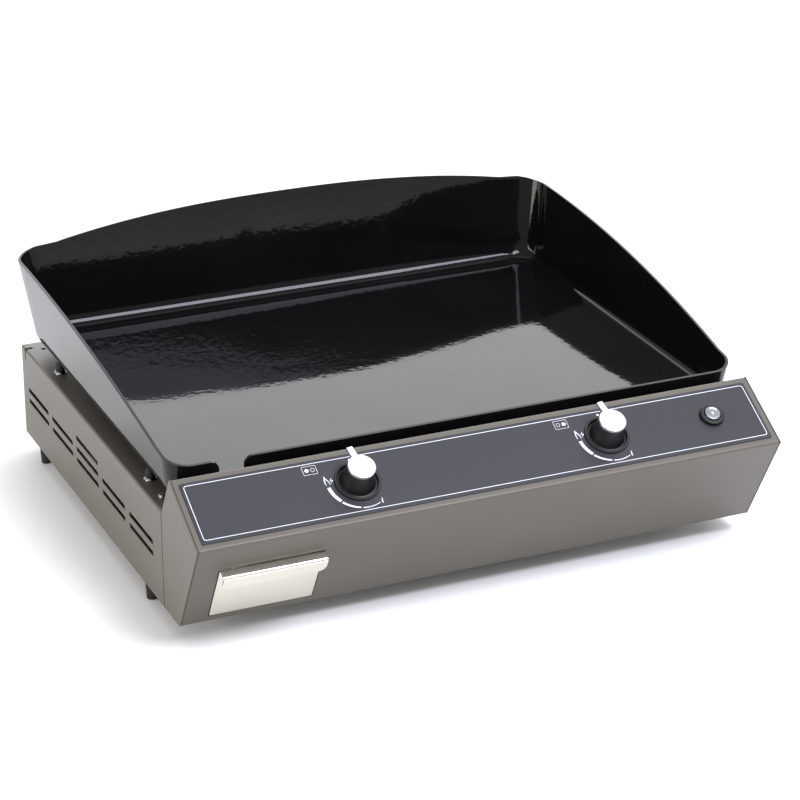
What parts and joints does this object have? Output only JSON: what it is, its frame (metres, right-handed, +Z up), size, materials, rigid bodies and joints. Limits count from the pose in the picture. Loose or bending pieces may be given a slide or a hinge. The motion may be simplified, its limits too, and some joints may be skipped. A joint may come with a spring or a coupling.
{
  "type": "two-burner gas griddle",
  "caption": "Tabletop gas griddle: enamelled plate with raised crowned walls and grease outlet on a slotted casing, sloping console with knobs, igniter and grease drawer.",
  "frame": {"origin": "centre of the bounding box on the surface the feet stand on", "axes": "+X to the right seen from the control side, +Y to the back, +Z up; the control console faces -Y"},
  "size_m": [0.6062, 0.5668, 0.2476],
  "materials": {
    "black_vitreous_enamel": "glossy vitreous enamel on steel",
    "powder_coated_steel": "fine satin powder coat",
    "printed_polyester_film": "screen-printed satin film",
    "polished_zinc": "satin chrome plate",
    "black_moulded_plastic": "fine moulded texture",
    "satin_stainless_steel": "satin",
    "black_rubber": "matt moulded rubber",
    "silicone_cable": "smooth",
    "glazed_ceramic": "glazed",
    "machined_brass": "machined",
    "galvanised_steel": "zinc coated"
  },
  "bodies": {
    "casing": {"fascia_overlay": "printed_polyester_film", "knob_bezel_left": "black_moulded_plastic", "gas_valve_left": "machined_brass", "knob_bezel_right": "black_moulded_plastic", "gas_valve_right": "machined_brass", "igniter_body": "black_moulded_plastic", "igniter_nut": "galvanised_steel", "casing_shell": "powder_coated_steel", "base_tray": "galvanised_steel", "foot_front_left": "black_rubber", "foot_front_right": "black_rubber", "foot_rear_left": "black_rubber", "foot_rear_right": "black_rubber", "plate_stud_front_left": "polished_zinc", "plate_stud_front_right": "polished_zinc", "plate_stud_rear_left": "polished_zinc", "plate_stud_rear_right": "polished_zinc", "casing_screw_left": "polished_zinc", "casing_screw_right": "polished_zinc", "console_shell": "powder_coated_steel", "console_cheek_left": "powder_coated_steel", "console_cheek_right": "powder_coated_steel", "drawer_rail_left": "galvanised_steel", "drawer_rail_right": "galvanised_steel", "burner_left": "satin_stainless_steel", "burner_right": "satin_stainless_steel", "heat_shield": "galvanised_steel", "burner_bracket_front": "galvanised_steel", "burner_bracket_rear": "galvanised_steel", "gas_manifold": "machined_brass", "gas_inlet": "machined_brass", "inlet_nut": "machined_brass", "injector_left": "machined_brass", "feed_tube_left": "machined_brass", "thermocouple_left": "machined_brass", "spark_electrode_left": "glazed_ceramic", "ignition_lead_left": "silicone_cable", "injector_right": "machined_brass", "feed_tube_right": "machined_brass", "thermocouple_right": "machined_brass", "spark_electrode_right": "glazed_ceramic", "ignition_lead_right": "silicone_cable"},
    "griddle_plate": {"griddle_plate": "black_vitreous_enamel"},
    "drawer": {"drawer_front": "satin_stainless_steel", "grease_drawer": "satin_stainless_steel"},
    "push_left": {"valve_plunger_left": "galvanised_steel"},
    "knob_left": {"knob_body_left": "black_moulded_plastic", "knob_cap_left": "polished_zinc", "valve_stem_left": "galvanised_steel"},
    "push_right": {"valve_plunger_right": "galvanised_steel"},
    "knob_right": {"knob_body_right": "black_moulded_plastic", "knob_cap_right": "polished_zinc", "valve_stem_right": "galvanised_steel"},
    "igniter_button": {"igniter_button": "polished_zinc"}
  },
  "joints": [
    {"name": "plate_lift", "type": "slide", "parent": "casing", "child": "griddle_plate", "axis": [0, 0, 1], "range_m": [0, 0.12]},
    {"name": "drawer_slide", "type": "slide", "parent": "casing", "child": "drawer", "axis": [0, -1, 0], "range_m": [0, 0.1]},
    {"name": "push_left", "type": "slide", "parent": "casing", "child": "push_left", "axis": [0, 0.4909, -0.8712], "range_m": [0, 0.003], "stiffness_N_per_m": 2000, "springref_m": -0.001},
    {"name": "turn_left", "type": "hinge", "parent": "push_left", "child": "knob_left", "pos_m": [-0.129, -0.24501, 0.14354], "axis": [0, -0.4909, 0.8712], "range_deg": [0, 215]},
    {"name": "push_right", "type": "slide", "parent": "casing", "child": "push_right", "axis": [0, 0.4909, -0.8712], "range_m": [0, 0.003], "stiffness_N_per_m": 2000, "springref_m": -0.001},
    {"name": "turn_right", "type": "hinge", "parent": "push_right", "child": "knob_right", "pos_m": [0.129, -0.24501, 0.14354], "axis": [0, -0.4909, 0.8712], "range_deg": [0, 215]},
    {"name": "igniter_press", "type": "slide", "parent": "casing", "child": "igniter_button", "axis": [0, 0.4909, -0.8712], "range_m": [0, 0.004], "stiffness_N_per_m": 800, "springref_m": -0.001}
  ]
}
